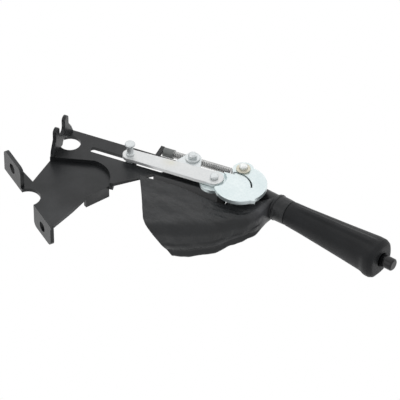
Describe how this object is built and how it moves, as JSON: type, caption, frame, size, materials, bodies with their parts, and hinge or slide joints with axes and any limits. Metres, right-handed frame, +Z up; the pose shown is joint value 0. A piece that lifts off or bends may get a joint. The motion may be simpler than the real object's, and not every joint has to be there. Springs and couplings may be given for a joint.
{
  "type": "parking brake lever",
  "caption": "Floor-mounted hand lever on a pressed bracket, with a ratchet, a push-button release, a pull link for a brake cable and a soft boot.",
  "frame": {"origin": "centre of the rear foot's bolt hole, on the mounting floor", "axes": "+Z up from the mounting floor, +X along the floor towards the handle, +Y along the pivot to the side away from the link"},
  "size_m": [0.324, 0.0755, 0.2898],
  "materials": {
    "black_steel": "satin black paint",
    "zinc": "bright zinc plate",
    "steel": "plain steel",
    "sleeve": "grey plastic",
    "bronze": "sintered bronze",
    "rubber": "black rubber",
    "grip_plastic": "fine grain",
    "button_plastic": "gloss",
    "guide_plastic": "natural nylon",
    "boot_vinyl": "soft vinyl"
  },
  "bodies": {
    "bracket": {"mounting_bracket": "black_steel", "cable_fork": "black_steel", "ratchet_sector": "steel", "sector_bolt": "zinc", "sector_spacer": "steel", "sector_nut": "zinc", "spring_lug": "zinc", "lug_post": "zinc", "lug_washer": "zinc", "pivot_bolt": "zinc", "pivot_washer": "zinc", "pivot_collar": "steel", "pivot_bush": "bronze", "pivot_nut": "zinc", "spring_sleeve": "sleeve", "return_spring": "steel", "stop_buffer": "rubber"},
    "lever": {"pull_plate": "zinc", "upper_cheek": "black_steel", "lower_cheek": "black_steel", "spacer_block": "black_steel", "handle_tube": "black_steel", "rod_guide": "guide_plastic", "grip": "grip_plastic", "pawl_pin": "steel", "link_rivet": "zinc", "boot_clamp": "steel", "boot": "boot_vinyl", "button_spring": "steel"},
    "link": {"pull_link": "zinc", "cable_pin": "zinc", "pin_clip": "steel"},
    "pawl": {"pawl": "steel"},
    "button": {"push_button": "button_plastic", "release_rod": "steel"}
  },
  "joints": [
    {"name": "lever_pull", "type": "hinge", "parent": "bracket", "child": "lever", "pos_m": [0.114, 0.02, 0.205], "axis": [0, -1, 0], "range_deg": [0, 38], "deforming": ["return_spring", "boot"]},
    {"name": "link_swing", "type": "hinge", "parent": "lever", "child": "link", "pos_m": [0.11113, 0.001, 0.17294], "axis": [0, -1, 0], "range_deg": [-44.5, 0.5]},
    {"name": "button_press", "type": "slide", "parent": "lever", "child": "button", "axis": [-0.9063, 0, -0.4226], "range_m": [0, 0.006], "stiffness_N_per_m": 400, "springref_m": -0.004, "deforming": ["button_spring"]},
    {"name": "pawl_lift", "type": "hinge", "parent": "lever", "child": "pawl", "pos_m": [0.15532, 0.02, 0.19448], "axis": [0, -1, 0], "range_deg": [-0.5, 17.5]}
  ],
  "couplings": [
    {"joint": "link_swing", "follows": "lever_pull", "ratio": -1.155},
    {"joint": "pawl_lift", "follows": "button_press", "rad_per_m": 49.451}
  ]
}
